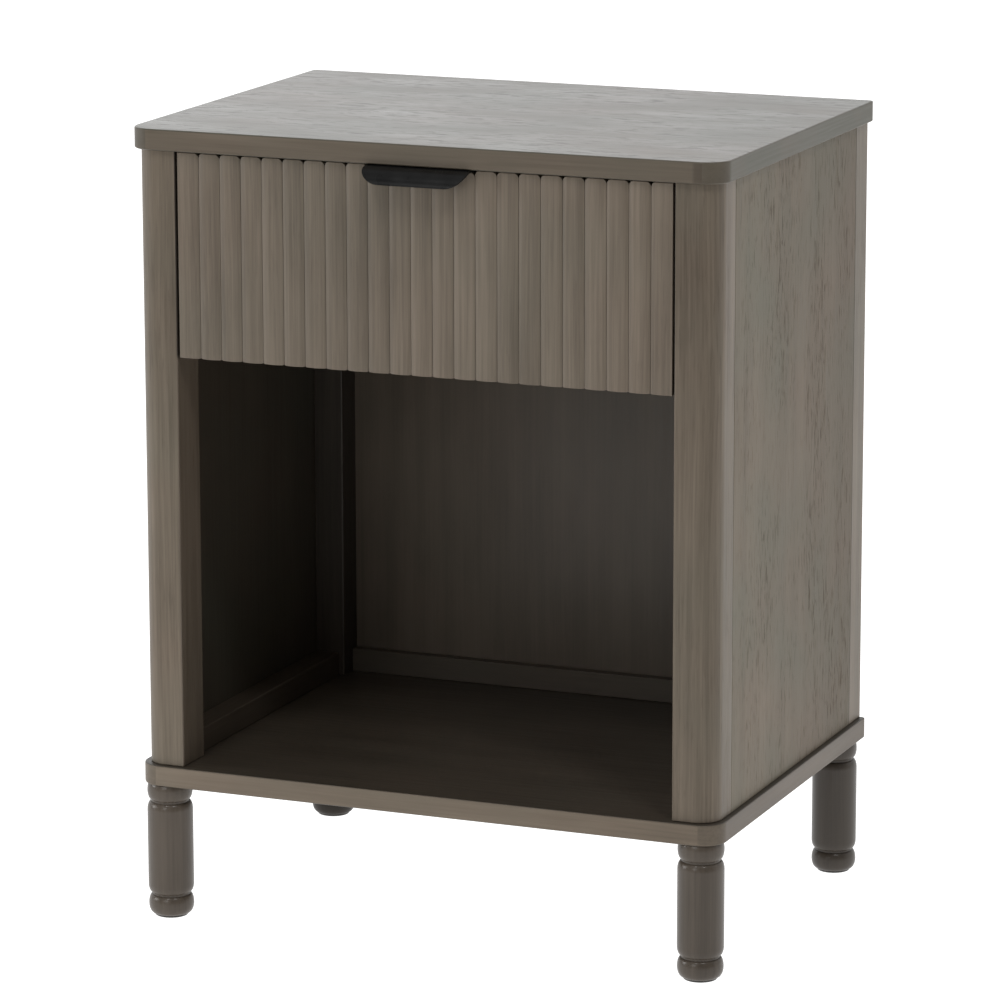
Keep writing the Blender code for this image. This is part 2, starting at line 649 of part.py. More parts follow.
def pull_outline():
    """Half of the pull's flat pattern: (half width, distance from the lip's tip), tip first."""
    centre = (PULL_HALF_WIDTH - PULL_CORNER_RADIUS, PULL_CORNER_RADIUS)
    points = arc(centre, PULL_CORNER_RADIUS, -90, 0, PULL_CORNER_STEPS)
    lip = pull_lip_length()
    stretch = (lip - PULL_CORNER_RADIUS) / PULL_SIDE_STEPS
    points += [(PULL_HALF_WIDTH, PULL_CORNER_RADIUS + stretch * (i + 1)) for i in range(PULL_SIDE_STEPS)]
    points.append((PULL_HALF_WIDTH, lip + PULL_FLANGE_DEPTH))
    return points


def pull_lip_length():
    """Length of the lip's quarter ellipse."""
    ends = [pull_lip_point(i / PULL_LIP_STEPS) for i in range(PULL_LIP_STEPS + 1)]
    return sum((b - a).length for a, b in zip(ends, ends[1:]))


def pull_lip_point(fraction):
    """A point (y, z) on the lip's outer face, from the flange at 0 to the tip at 1."""
    angle = fraction * math.pi / 2
    y = PULL_BEND_Y - PULL_FORWARD * math.sin(angle)
    z = PULL_TOP_Z - PULL_DROP * (1 - math.cos(angle))
    return Vector((y, z))


def pull_point(distance):
    """The outer face's (y, z) at a distance from the tip along the bent sheet."""
    left = distance
    for i in range(PULL_LIP_STEPS, 0, -1):
        near, far = pull_lip_point(i / PULL_LIP_STEPS), pull_lip_point((i - 1) / PULL_LIP_STEPS)
        if left <= (far - near).length:
            return near.lerp(far, left / (far - near).length)
        left -= (far - near).length
    return Vector((PULL_BEND_Y + left, PULL_TOP_Z))


def build_pull():
    """A bent sheet: a flange on the front's top edge and a lip that curves over it and down."""
    work = bmesh.new()
    rows = []
    for half_width, distance in pull_outline():
        y, z = pull_point(distance)
        rows.append([work.verts.new((x, y, z)) for x in (-half_width, 0, half_width)])
    for near, far in zip(rows, rows[1:]):
        for i in range(len(near) - 1):
            work.faces.new((near[i], near[i + 1], far[i + 1], far[i]))
    bmesh.ops.recalc_face_normals(work, faces=work.faces)
    mesh = bpy.data.meshes.new("drawer_pull")
    work.to_mesh(mesh)
    work.free()
    pull = add_object("drawer_pull", mesh, BLACK_METAL)
    shade_round(pull)
    sheet = pull.modifiers.new("sheet", "SOLIDIFY")
    sheet.thickness = PULL_THICKNESS
    sheet.offset = -1.0 if mesh.polygons[-1].normal.z > 0 else 1.0
    holes = []
    for side, sign in SIDES:
        seat = (sign * PULL_SCREW_X, PULL_SCREW_Y, PULL_TOP_Z)
        name = "pull_screw_" + side
        wood_screw(name, seat, DOWN, PULL_SCREW_HEAD, PULL_SCREW_SHANK, PULL_SCREW_LENGTH, True)
        holes.append(Hole(seat, DOWN, PULL_SCREW_HOLE, PULL_THICKNESS + GAP, PULL_COUNTERSINK))
    drill(pull, holes)


def build_drawer():
    """The reeded front, and the five boards of the box behind it."""
    front = prism(
        "drawer_front", reeded_outline(), "Z", DRAWER_FRONT_LOW_Z, DRAWER_FRONT_HIGH_Z, STAINED_WOOD
    )
    recess = block(
        "pull_recess",
        (-PULL_HALF_WIDTH - GAP, PULL_BEND_Y - PULL_FORWARD, PULL_TOP_Z - PULL_THICKNESS - GAP),
        (PULL_HALF_WIDTH + GAP, PULL_FLANGE_BACK_Y + GAP, TOP_LOW_Z),
        None,
    )
    PARTS.objects.unlink(recess)
    CUTTERS.objects.link(recess)
    subtract(front, recess)

    box_front = prism(
        "drawer_box_front", box_front_outline(), "X", GAP - BOX_INNER_X, BOX_INNER_X - GAP, PALE_PLY
    )
    front_holes, box_holes = [], []
    for level, z in FRONT_SCREW_LEVELS:
        for side, sign in SIDES:
            seat = (sign * FRONT_SCREW_X, BOX_FRONT_Y + BOX_BOARD + GAP, z)
            name = f"front_screw_{level}_{side}"
            wood_screw(name, seat, FORWARD, FRONT_SCREW_HEAD, FRONT_SCREW_SHANK, FRONT_SCREW_LENGTH)
            box_holes.append(Hole(seat, FORWARD, FRONT_SCREW_HOLE, BOX_BOARD + 2 * GAP))
            mouth = (sign * FRONT_SCREW_X, DRAWER_FRONT_BACK_Y, z)
            reach = FRONT_SCREW_LENGTH - BOX_BOARD
            front_holes.append(Hole(mouth, FORWARD, FRONT_SCREW_HOLE, reach))
    for _, sign in SIDES:
        mouth = (sign * PULL_SCREW_X, PULL_SCREW_Y, PULL_TOP_Z - PULL_THICKNESS - GAP)
        front_holes.append(Hole(mouth, DOWN, PULL_SCREW_HOLE, PULL_SCREW_LENGTH - PULL_THICKNESS))
    drill(box_front, box_holes)
    drill(front, front_holes)

    low = (GAP - BOX_INNER_X, BOX_BACK_Y - BOX_BOARD, BOX_BACK_LOW_Z)
    high = (BOX_INNER_X - GAP, BOX_BACK_Y, BOX_TOP_Z)
    block("drawer_box_back", low, high, PALE_PLY)

    reach = BOX_INNER_X + BOTTOM_GROOVE_DEPTH - GAP
    low = (-reach, BOX_FRONT_Y + BOX_BOARD - BOTTOM_GROOVE_DEPTH + GAP, BOTTOM_LOW_Z)
    high = (reach, BOX_BACK_Y, BOTTOM_HIGH_Z)
    block("drawer_bottom", low, high, PALE_PLY)

    for side, sign in SIDES:
        outline = mirrored(box_side_outline(), sign)
        board = prism("drawer_side_" + side, outline, "Y", BOX_FRONT_Y, BOX_BACK_Y, PALE_PLY)
        mouths = [(sign * BOX_HALF_WIDTH, y, SLIDE_CENTRE_Z) for _, y in SLIDE_SCREW_SPOTS]
        inward = (-sign, 0, 0)
        drill(board, [Hole(mouth, inward, SLIDE_SCREW_HOLE, INNER_SCREW_LENGTH) for mouth in mouths])


# ---------------------------------------------------------------------------------------------
# Legs, bolts and pads
# ---------------------------------------------------------------------------------------------

PAD_RADIUS = 0.0135
PAD_THICKNESS = 0.0015
LEG_FOOT_Z = PAD_THICKNESS + GAP
BEAD_RADIUS = 0.0184
BEAD_TOP_RADIUS = 0.0168
UPPER_GROOVE_Z = 0.0972
LOWER_GROOVE_Z = 0.0186
SHOULDER = 0.0075
FOOT_RADIUS = 0.0183
FOOT_WIDEST_Z = 0.0090
FOOT_BOTTOM_RADIUS = 0.0150
PAD_EDGE_EASE = 0.0004
BOLT_STEPS = 16
PAD_STEPS = 20


def quarter(start, end, steps, bulge_first):
    """A quarter ellipse between two (radius, height) points, without its first point.

    With bulge_first the curve leaves start level and arrives upright; otherwise the reverse.
    """
    points = []
    for i in range(1, steps + 1):
        angle = math.pi / 2 * i / steps
        rise, run = math.sin(angle), 1 - math.cos(angle)
        across, down = (rise, run) if bulge_first else (run, rise)
        points.append((start[0] + (end[0] - start[0]) * across, start[1] + (end[1] - start[1]) * down))
    return points


def leg_profile():
    """The turned leg from its bolt hole at the top to the flat foot."""
    bead_z = (UPPER_GROOVE_Z + LEG_TOP_Z) / 2
    hole_floor = LEG_TOP_Z - BOLT_FALL - GAP
    profile = [(0, hole_floor), (BOLT_HOLE_RADIUS, hole_floor), (BOLT_HOLE_RADIUS, LEG_TOP_Z)]
    profile.append((BEAD_TOP_RADIUS, LEG_TOP_Z))
    profile += quarter(profile[-1], (BEAD_RADIUS, bead_z), 2, True)
    profile += quarter(profile[-1], (LEG_GROOVE_RADIUS, UPPER_GROOVE_Z), 3, False)
    profile += quarter(profile[-1], (LEG_RADIUS, UPPER_GROOVE_Z - SHOULDER), 4, True)
    profile.append((LEG_RADIUS, LOWER_GROOVE_Z + SHOULDER))
    profile += quarter(profile[-1], (LEG_GROOVE_RADIUS, LOWER_GROOVE_Z), 4, False)
    profile += quarter(profile[-1], (FOOT_RADIUS, FOOT_WIDEST_Z), 3, True)
    profile += quarter(profile[-1], (FOOT_BOTTOM_RADIUS, LEG_FOOT_Z), 3, False)
    profile.append((0, LEG_FOOT_Z))
    return profile


def build_legs():
    """A leg, a bolt up into the base and a pad under the foot, at each corner."""
    profile = leg_profile()
    pad_top = PAD_RADIUS - PAD_EDGE_EASE
    for corner, spot in CORNERS:
        place = Matrix.Translation(spot)
        turned("leg_" + corner, profile, LEG_STEPS, LEG_WOOD, place)
        bolt_top, bolt_foot = LEG_HEIGHT + BOLT_RISE, LEG_TOP_Z - BOLT_FALL
        bolt = [(0, bolt_top), (BOLT_RADIUS, bolt_top), (BOLT_RADIUS, bolt_foot), (0, bolt_foot)]
        turned("leg_bolt_" + corner, bolt, BOLT_STEPS, ZINC, place)
        pad = [(0, PAD_THICKNESS), (pad_top, PAD_THICKNESS)]
        pad += [(PAD_RADIUS, PAD_THICKNESS - PAD_EDGE_EASE), (PAD_RADIUS, 0), (0, 0)]
        turned("foot_pad_" + corner, pad, PAD_STEPS, FELT, place)


build_boards()
build_posts_and_panels()
build_rails()
build_slides()
build_drawer()
build_pull()
build_legs()
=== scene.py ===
"""Looks of the side table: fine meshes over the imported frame, procedural finishes, light and camera.

Metres, +Z up, X to the right, the drawer opens towards -Y. Sizes and places come from the frame's
boxes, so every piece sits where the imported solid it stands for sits.
"""

import json
import math

import bmesh
import bpy
from mathutils import Matrix, Vector


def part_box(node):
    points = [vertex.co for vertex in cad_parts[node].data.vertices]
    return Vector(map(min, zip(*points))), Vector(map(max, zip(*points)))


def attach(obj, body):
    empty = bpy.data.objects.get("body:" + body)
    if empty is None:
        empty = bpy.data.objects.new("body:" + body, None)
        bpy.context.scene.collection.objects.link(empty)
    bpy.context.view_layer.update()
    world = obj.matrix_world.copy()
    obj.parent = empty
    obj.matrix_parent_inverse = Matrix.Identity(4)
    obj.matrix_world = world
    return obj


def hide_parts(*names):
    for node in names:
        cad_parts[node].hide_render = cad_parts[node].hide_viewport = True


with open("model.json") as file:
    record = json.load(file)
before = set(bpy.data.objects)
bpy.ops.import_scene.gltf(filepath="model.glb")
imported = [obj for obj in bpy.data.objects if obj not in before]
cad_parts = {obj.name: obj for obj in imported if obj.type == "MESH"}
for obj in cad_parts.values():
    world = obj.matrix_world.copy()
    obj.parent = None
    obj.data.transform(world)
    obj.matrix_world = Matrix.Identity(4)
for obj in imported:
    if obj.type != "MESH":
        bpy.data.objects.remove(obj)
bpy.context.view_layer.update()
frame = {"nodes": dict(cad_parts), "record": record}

NODES = frame["nodes"]
RECORD = frame["record"]
BODY_OF = {node: body for body, nodes in RECORD["behaviour"]["bodies"].items() for node in nodes}
SLOT_OF = {part["node"]: part["material_slot"] for part in RECORD["subparts"]}
SIDES = (("left", -1), ("right", 1))
CORNERS = [f"{end}_{side}" for end in ("front", "rear") for side, _ in SIDES]

# ---------------------------------------------------------------------------------------------
# Node-tree helpers
# ---------------------------------------------------------------------------------------------


class Shader:
    """A material's node tree, with short ways to add and join nodes."""

    def __init__(self, name):
        self.material = bpy.data.materials.new(name)
        self.material.use_nodes = True
        self.tree = self.material.node_tree
        self.surface = self.tree.nodes["Principled BSDF"]

    def add(self, kind, **settings):
        """A node of a kind, with its properties set."""
        node = self.tree.nodes.new("ShaderNode" + kind)
        for key, value in settings.items():
            setattr(node, key, value)
        return node

    def feed(self, socket, value):
        """Links an output to an input, or sets the input's own value."""
        if isinstance(value, bpy.types.NodeSocket):
            self.tree.links.new(value, socket)
        else:
            socket.default_value = value

    def position(self):
        """The point on the piece, in the row frame at rest."""
        return self.add("TexCoord").outputs["Object"]

    def axis(self, name):
        """One coordinate of the point on the piece."""
        split = self.add("SeparateXYZ")
        self.feed(split.inputs[0], self.position())
        return split.outputs[name]

    def math(self, operation, first, second=0.0):
        """One arithmetic step."""
        node = self.add("Math", operation=operation)
        self.feed(node.inputs[0], first)
        self.feed(node.inputs[1], second)
        return node.outputs[0]

    def stretch(self, vector, factors, offset=(0, 0, 0)):
        """A point scaled and moved, axis by axis."""
        node = self.add("VectorMath", operation="MULTIPLY_ADD")
        for socket, value in zip(node.inputs, (vector, factors, offset)):
            self.feed(socket, value)
        return node.outputs[0]

    def noise(self, vector, detail=2.0, roughness=0.5, distortion=0.0):
        """Smooth noise, 0 to 1, with one feature about every unit of the vector."""
        node = self.add("TexNoise")
        self.feed(node.inputs["Vector"], vector)
        self.feed(node.inputs["Scale"], 1.0)
        self.feed(node.inputs["Detail"], detail)
        self.feed(node.inputs["Roughness"], roughness)
        self.feed(node.inputs["Distortion"], distortion)
        return node.outputs["Fac"]

    def spread(self, value, share):
        """A value of 0 to 1 centred on zero and scaled."""
        return self.math("MULTIPLY", self.math("SUBTRACT", value, 0.5), share)

    def remap(self, value, low, high, to_low=0.0, to_high=1.0):
        """A value moved from one range to another, and held inside it."""
        node = self.add("MapRange")
        for socket, number in zip(node.inputs, (value, low, high, to_low, to_high)):
            self.feed(socket, number)
        return node.outputs[0]

    def ramp(self, value, stops):
        """Colours along a value; each stop is (place, colour)."""
        node = self.add("ValToRGB")
        self.feed(node.inputs[0], value)
        elements = node.color_ramp.elements
        while len(elements) < len(stops):
            elements.new(0.5)
        for element, (place, colour) in zip(elements, stops):
            element.position = place
            element.color = (*colour, 1.0)
        return node.outputs["Color"]

    def mix(self, factor, first, second, blend="MIX"):
        """Two colours mixed."""
        node = self.add("Mix", data_type="RGBA", blend_type=blend)
        self.feed(node.inputs["Factor"], factor)
        for socket, value in ((node.inputs[6], first), (node.inputs[7], second)):
            if isinstance(value, tuple):
                value = (*value, 1.0)
            self.feed(socket, value)
        return node.outputs[2]

    def bump(self, height, distance, strength=1.0, below=None):
        """A normal from a height of 0 to 1, in metres of distance."""
        node = self.add("Bump")
        node.inputs["Strength"].default_value = strength
        node.inputs["Distance"].default_value = distance
        self.feed(node.inputs["Height"], height)
        if below is not None:
            self.feed(node.inputs["Normal"], below)
        return node.outputs["Normal"]

    def finish(self, colour, roughness, normal, **fixed):
        """Wires the surface; fixed values go on the shader's own sockets."""
        self.feed(self.surface.inputs["Base Color"], colour)
        self.feed(self.surface.inputs["Roughness"], roughness)
        self.feed(self.surface.inputs["Normal"], normal)
        for key, value in fixed.items():
            self.surface.inputs[key.replace("_", " ")].default_value = value
        return self.material


# ---------------------------------------------------------------------------------------------
# Finishes
# ---------------------------------------------------------------------------------------------

STAIN_DARK = (0.052, 0.038, 0.026)
STAIN_MID = (0.108, 0.083, 0.061)
STAIN_LIGHT = (0.168, 0.134, 0.102)
STAIN_OLIVE = (0.086, 0.083, 0.062)
PORE_DARKNESS = 0.45
# painted shade: how dark the valleys between the reeds are drawn
VALLEY_SHADE_DARKNESS = 0.5
# a narrow dark strip drawn on the top's front band, ending where its corner bends
DARK_LINE_WIDTH = 0.005
DARK_LINE_STRENGTH = 0.5
DARK_LINE_DARKNESS = 0.7
SHADE_EDGE = 0.002
SHADE_STRENGTH = 0.8
SHADE_DARKNESS = 0.15
# painted shade: how much darker the sheet is drawn towards the back, where the light falls off
FALLOFF_SHADE_STRENGTH = 0.50
CLOUDINESS = 0.55
REED_DIFFERENCE = 0.10
# painted shade in the valleys between the reeds: its width and strength
REED_SHADE_WIDTH = 0.024  # as a share of the reeds' pitch
REED_SHADE_STRENGTH = 0.38

# Layers of the grain: how many features there are to the metre, across and along the fibres
DRIFT_GRAIN = (9, 2.2)
BAND_GRAIN = (90, 1.8)
CLOUD_GRAIN = (22, 7)
FIBRE_GRAIN = (460, 8)
FINE_GRAIN = (1600, 130)
PATCH_GRAIN = (9, 9, 9)
SWAY = 0.010  # how far the fibres wander
FINE_RELIEF = 0.00003
COAT_ROUGHNESS = 0.20


def scaled(colour, factor):
    """A colour made darker or lighter."""
    return tuple(channel * factor for channel in colour)


def along_grain(grain, across, along):
    """Frequencies for the three axes: along for the grain's own axis, across for the other two."""
    return tuple(along if axis == grain else across for axis in "XYZ")


def stained_wood(
    name,
    grain,
    tone=1.0,
    figure=0.5,
    fibre=0.8,
    olive=0.2,
    pores=0.2,
    pore_grain=(600, 40),
    mottle=0.0,
    gloss=0.0,
    shine=0.36,
    relief=0.0002,
    seed=0.0,
    reed_pitch=None,
    smooth_before=None,
    light_falloff=None,
    dark_line_x=None,
    shaded_above=None,
):
    """Grey-brown stained wood under satin lacquer.

    grain is the axis that the fibres follow. figure is how much the growth bands show, fibre how much
    single fibres differ in tone, and olive how much of the surface leans to olive grey. pores is how
    open the grain is, pore_grain how many pores there are to the metre across and along the fibres,
    and mottle how unevenly the surface is polished. gloss is a second coat of lacquer, shine how
    strongly the wood under it reflects, and relief the depth of the grain.
    With reed_pitch each reed has its own tone, and shade is painted into its valleys. smooth_before is a span
    of Y over which the pores open; the falloff span is one over which the sheet is painted darker, as shade.
    From just short of the dark line's X onwards the colour is drawn darker, and above shaded_above shade is
    painted.
    """
    shader = Shader(name)
    place = shader.position()
    offset = (seed, seed * 1.7, seed * 0.6)

    drift = shader.noise(shader.stretch(place, along_grain(grain, *DRIFT_GRAIN), offset), 1.0)
    swayed = shader.stretch(drift, along_grain(grain, SWAY, 0), place)
    bands = shader.noise(shader.stretch(swayed, along_grain(grain, *BAND_GRAIN), offset), 3.0, 0.55)
    clouds = shader.noise(shader.stretch(place, along_grain(grain, *CLOUD_GRAIN), offset), 3.0)
    fibres = shader.noise(shader.stretch(swayed, along_grain(grain, *FIBRE_GRAIN), offset), 4.0, 0.65)
    streaks = shader.noise(shader.stretch(swayed, along_grain(grain, *pore_grain), offset), 3.0, 0.6, 0.4)
    fine = shader.noise(shader.stretch(place, along_grain(grain, *FINE_GRAIN), offset), 1.0)

    tonal = 0.5
    for source, share in ((bands, figure), (fibres, fibre), (clouds, CLOUDINESS)):
        tonal = shader.math("ADD", shader.spread(source, share), tonal)
    if reed_pitch:
        tonal = shader.math("ADD", tonal, shader.spread(reed_tone(shader, reed_pitch), REED_DIFFERENCE))
    stops = (
        (0.10, scaled(STAIN_DARK, tone)),
        (0.50, scaled(STAIN_MID, tone)),
        (0.92, scaled(STAIN_LIGHT, tone)),
    )
    colour = shader.ramp(tonal, stops)

    gathered = shader.remap(clouds, 0.42, 0.60, 1.0, 0.25)
    open_pores = shader.math("MULTIPLY", shader.remap(streaks, 0.52, 0.68, 0.0, 1.0), gathered)
    if smooth_before:
        opening = shader.remap(shader.axis("Y"), *smooth_before, 0.08, 1.0)
        open_pores = shader.math("MULTIPLY", open_pores, opening)
    patches = shader.noise(shader.stretch(place, PATCH_GRAIN, offset), 2.0)
    patches = shader.remap(patches, 0.30, 0.70, 0.35, 1.65)
    lean = shader.math("MULTIPLY", patches, olive)
    colour = shader.mix(shader.math("MINIMUM", lean, 1.0), colour, scaled(STAIN_OLIVE, tone))
    pore_colour = scaled(STAIN_DARK, tone * PORE_DARKNESS)
    colour = shader.mix(shader.math("MULTIPLY", open_pores, pores), colour, pore_colour)
    if reed_pitch:
        # painted shade in the valleys between the reeds
        colour = shader.mix(reed_valley_shade(shader, reed_pitch), colour, scaled(STAIN_DARK, tone * VALLEY_SHADE_DARKNESS))
    # painted shade, darker along Y towards the back
    if light_falloff:
        falloff_shade = shader.remap(shader.axis("Y"), *light_falloff, 0.0, FALLOFF_SHADE_STRENGTH)
        colour = shader.mix(falloff_shade, colour, scaled(STAIN_DARK, tone))
    # darker from just short of the given X onwards
    if dark_line_x:
        line = shader.remap(shader.axis("X"), dark_line_x - DARK_LINE_WIDTH, dark_line_x - DARK_LINE_WIDTH / 2, 0.0, DARK_LINE_STRENGTH)
        colour = shader.mix(line, colour, scaled(STAIN_DARK, tone * DARK_LINE_DARKNESS))
    # painted shade above the given height
    if shaded_above:
        start, end = shaded_above - SHADE_EDGE, shaded_above + SHADE_EDGE
        shade = shader.remap(shader.axis("Z"), start, end, 0.0, SHADE_STRENGTH)
        colour = shader.mix(shade, colour, scaled(STAIN_DARK, SHADE_DARKNESS))

    roughness = shader.remap(fibres, 0.3, 0.7, 0.38, 0.50)
    roughness = shader.math("ADD", roughness, shader.spread(clouds, mottle))
    openness = min(1.0, pores * 1.5)
    roughness = shader.math("ADD", roughness, shader.math("MULTIPLY", open_pores, 0.3 * openness))
    trough = shader.math("MULTIPLY", open_pores, openness)
    height = shader.math("SUBTRACT", shader.math("MULTIPLY", fibres, 0.5), trough)
    normal = shader.bump(height, relief, 0.6)
    normal = shader.bump(fine, FINE_RELIEF, 0.5, normal)
    lacquer = {"Coat_Weight": gloss, "Coat_Roughness": COAT_ROUGHNESS, "Specular_IOR_Level": shine}
    return shader.finish(colour, roughness, normal, **lacquer)


def reed_phase(shader, pitch):
    """Place along the row of reeds, counted in reeds, with whole numbers in the valleys."""
    return shader.math("ADD", shader.math("DIVIDE", shader.axis("X"), pitch), 0.5)


def reed_tone(shader, pitch):
    """A number of 0 to 1 that differs from reed to reed."""
    own = shader.add("TexWhiteNoise", noise_dimensions="1D")
    shader.feed(own.inputs["W"], shader.math("FLOOR", reed_phase(shader, pitch)))
    return own.outputs["Value"]


def reed_valley_shade(shader, pitch):
    """The painted valley shade's strength: highest in the valleys between reeds, and 0 on them."""
    from_valley = shader.math("PINGPONG", reed_phase(shader, pitch), 0.5)
    return shader.remap(from_valley, 0.0, REED_SHADE_WIDTH, REED_SHADE_STRENGTH, 0.0)


def pale_ply(name, grain):
    """Clear-lacquered ply, warm and fine-grained along an axis."""
    shader = Shader(name)
    place = shader.position()
    bands = shader.noise(shader.stretch(place, along_grain(grain, 60, 2)), 3.0, 0.6, 0.3)
    fibres = shader.noise(shader.stretch(place, along_grain(grain, 700, 12)), 3.0)
    tonal = shader.math("ADD", shader.math("MULTIPLY", bands, 0.7), shader.math("MULTIPLY", fibres, 0.3))
    stops = ((0.30, (0.40, 0.29, 0.185)), (0.52, (0.54, 0.415, 0.28)), (0.72, (0.65, 0.53, 0.38)))
    colour = shader.ramp(tonal, stops)
    roughness = shader.remap(fibres, 0.3, 0.7, 0.50, 0.64)
    normal = shader.bump(fibres, 0.00012, 0.5)
    return shader.finish(colour, roughness, normal, Specular_IOR_Level=0.4)


def black_coat(name):
    """Fine satin black powder coat, rubbed a little smoother in places by fingers."""
    shader = Shader(name)
    place = shader.position()
    grit = shader.noise(shader.stretch(place, (2600, 2600, 2600)), 2.0)
    rubbed = shader.noise(shader.stretch(place, (60, 60, 60)), 2.0)
    stops = ((0.35, (0.006, 0.006, 0.006)), (0.70, (0.010, 0.010, 0.010)))
    colour = shader.ramp(rubbed, stops)
    roughness = shader.remap(rubbed, 0.3, 0.7, 0.25, 0.33)
    normal = shader.bump(grit, 0.00005, 0.5)
    return shader.finish(colour, roughness, normal, Specular_IOR_Level=0.19)


def zinc_plate(name):
    """Bright zinc plate with rolling lines along Y and a faint cloudiness."""
    shader = Shader(name)
    place = shader.position()
    rolled = shader.noise(shader.stretch(place, (900, 9, 900)), 2.0)
    cloud = shader.noise(shader.stretch(place, (45, 45, 45)), 3.0)
    stops = ((0.30, (0.43, 0.44, 0.47)), (0.55, (0.55, 0.56, 0.58)), (0.80, (0.64, 0.645, 0.65)))
    colour = shader.ramp(cloud, stops)
    roughness = shader.remap(cloud, 0.3, 0.7, 0.26, 0.40)
    normal = shader.bump(rolled, 0.00004, 0.4)
    return shader.finish(colour, roughness, normal, Metallic=1.0)


def pressed_felt(name):
    """Dark pressed felt: short matted fibres."""
    shader = Shader(name)
    place = shader.position()
    matted = shader.noise(shader.stretch(place, (1400, 1400, 1400)), 4.0, 0.7, 1.2)
    stops = ((0.30, (0.025, 0.023, 0.021)), (0.60, (0.060, 0.056, 0.050)), (0.85, (0.110, 0.104, 0.096)))
    colour = shader.ramp(matted, stops)
    roughness = shader.remap(matted, 0.3, 0.7, 0.88, 1.0)
    normal = shader.bump(matted, 0.0003, 0.8)
    return shader.finish(colour, roughness, normal, Sheen_Weight=0.3, Sheen_Roughness=0.6)


def pale_floor(name):
    """Plain white studio floor, lit from below like a light table, very slightly uneven in tone."""
    shader = Shader(name)
    place = shader.position()
    mottle = shader.noise(shader.stretch(place, (3, 3, 3)), 3.0)
    colour = shader.ramp(mottle, ((0.30, (0.295, 0.295, 0.295)), (0.70, (0.305, 0.305, 0.305))))
    roughness = shader.remap(mottle, 0.3, 0.7, 0.80, 0.90)
    normal = shader.bump(mottle, 0.0005, 0.1)
    white = (1.0, 1.0, 1.0, 1.0)
    glow = {"Emission_Color": white, "Emission_Strength": 1.15}
    return shader.finish(colour, roughness, normal, Specular_IOR_Level=0.0, **glow)


# ---------------------------------------------------------------------------------------------
# Mesh helpers
# ---------------------------------------------------------------------------------------------

SMOOTH_ANGLE = math.radians(32)
EASED_ANGLE = math.radians(35)


def new_piece(name, work, *materials):
    """A new object from a bmesh, shaded smooth except over real edges."""
    bmesh.ops.recalc_face_normals(work, faces=work.faces)
    mesh = bpy.data.meshes.new(name)
    work.to_mesh(mesh)
    work.free()
    mesh.shade_smooth()
    mesh.set_sharp_from_angle(angle=SMOOTH_ANGLE)
    for material in materials:
        mesh.materials.append(material)
    piece = bpy.data.objects.new(name, mesh)
    bpy.context.scene.collection.objects.link(piece)
    return piece


def stand_for(piece, *nodes):
    """The piece is shown in place of the nodes and moves with their body."""
    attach(piece, BODY_OF[nodes[0]])
    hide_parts(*nodes)
    return piece


def ease(piece, width, segments=3):
    """Rounds the piece's hard edges by a small radius."""
    bevel = piece.modifiers.new("eased_edges", "BEVEL")
    bevel.width = width
    bevel.segments = segments
    bevel.limit_method = "ANGLE"
    bevel.angle_limit = EASED_ANGLE
    bevel.harden_normals = True
    bevel.miter_outer = "MITER_ARC"
    flats = piece.modifiers.new("flats_stay_flat", "WEIGHTED_NORMAL")
    flats.mode = "FACE_AREA"
    flats.weight = 100
    flats.keep_sharp = True
    return piece


def refined(node, width, *materials):
    """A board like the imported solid, its flat faces cleaned up and its edges rounded."""
    work = bmesh.new()
    work.from_mesh(NODES[node].data)
    bmesh.ops.remove_doubles(work, verts=work.verts, dist=0.000005)
    bmesh.ops.dissolve_limit(work, angle_limit=math.radians(0.5), verts=work.verts, edges=work.edges)
    for face in work.faces:
        face.material_index = 0
    piece = new_piece(node + "_board", work, *materials)
    ease(piece, width)
    return stand_for(piece, node)


def bridge(work, rows, closed=False):
    """Quads between rows of vertices; closed joins each row's last vertex to its first."""
    for near, far in zip(rows, rows[1:]):
        count = len(near)
        for i in range(count if closed else count - 1):
            j = (i + 1) % count
            work.faces.new((near[i], near[j], far[j], far[i]))


def lathe(work, profile, centre, steps):
    """A turned surface; the profile is (radius, height) and may start and end on the axis."""
    rows = []
    for radius, height in profile:
        ring = []
        for i in range(steps):
            angle = 2 * math.pi * i / steps
            offset = Vector((radius * math.cos(angle), radius * math.sin(angle), height))
            ring.append(work.verts.new(centre + offset))
        rows.append(ring)
    bridge(work, rows, closed=True)
    work.faces.new(rows[0])
    work.faces.new(rows[-1])


def arc(centre, radius, start, end, steps):
    """Points along a circular arc, with both ends; angles in degrees."""
    angles = [math.radians(start + (end - start) * i / steps) for i in range(steps + 1)]
    return [(centre[0] + radius * math.cos(a), centre[1] + radius * math.sin(a)) for a in angles]


# ---------------------------------------------------------------------------------------------
# Case: boards, posts, panels and rails
# ---------------------------------------------------------------------------------------------

PANEL_CORNER = 0.020  # radius of the top's front corners, in plan
BOARD_EASE = 0.0006
RAIL_EASE = 0.0005
PANEL_EASE = 0.0003


